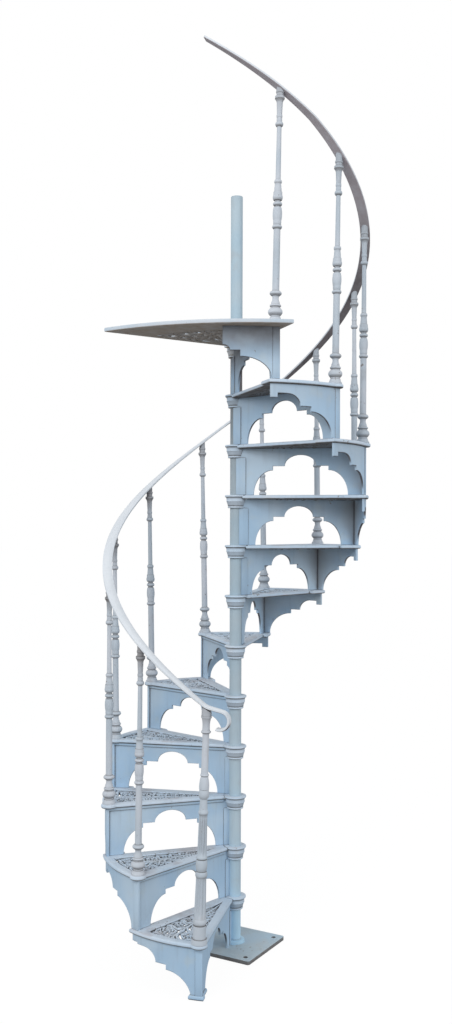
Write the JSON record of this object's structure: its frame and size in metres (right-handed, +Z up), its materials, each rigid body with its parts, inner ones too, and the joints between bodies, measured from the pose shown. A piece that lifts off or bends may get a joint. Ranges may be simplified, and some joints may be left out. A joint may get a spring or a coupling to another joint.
{
  "type": "spiral staircase",
  "caption": "Cast iron spiral stair: pierced wedge treads and a landing on arched risers, turned balusters and a helical handrail round a pipe column.",
  "frame": {"origin": "on the column's axis at floor level, the centre of the base plate's underside", "axes": "+Z up along the column; the stair climbs clockwise seen from above, and the first nosing is 12 degrees from -Y towards -X; +Y is the picture's viewing direction"},
  "size_m": [1.0749, 1.1167, 3.4602],
  "materials": {
    "frame_paint": "chalky pale blue-grey paint on cast iron, worn at the edges",
    "tread_paint": "pale blue-grey paint, worn to grey and beige on top, brown-grey below",
    "baluster_paint": "weathered grey paint",
    "handrail_paint": "pale paint worn smooth on top, dark below",
    "base_paint": "grey-blue paint with rust at the edges"
  },
  "bodies": {
    "root": {"base_plate": "base_paint", "centre_column": "frame_paint", "tread_01": "tread_paint", "tread_02": "tread_paint", "tread_03": "tread_paint", "tread_04": "tread_paint", "tread_05": "tread_paint", "tread_06": "tread_paint", "tread_07": "tread_paint", "tread_08": "tread_paint", "tread_09": "tread_paint", "tread_10": "tread_paint", "tread_11": "tread_paint", "landing": "tread_paint", "riser_01": "frame_paint", "riser_02": "frame_paint", "riser_03": "frame_paint", "riser_04": "frame_paint", "riser_05": "frame_paint", "riser_06": "frame_paint", "riser_07": "frame_paint", "riser_08": "frame_paint", "riser_09": "frame_paint", "riser_10": "frame_paint", "riser_11": "frame_paint", "riser_12": "frame_paint", "baluster_01": "baluster_paint", "baluster_02": "baluster_paint", "baluster_03": "baluster_paint", "baluster_04": "baluster_paint", "baluster_05": "baluster_paint", "baluster_06": "baluster_paint", "baluster_07": "baluster_paint", "baluster_08": "baluster_paint", "baluster_09": "baluster_paint", "baluster_10": "baluster_paint", "baluster_11": "baluster_paint", "baluster_12": "baluster_paint", "handrail": "handrail_paint", "handrail_head": "handrail_paint", "handrail_volute": "handrail_paint"}
  },
  "joints": []
}
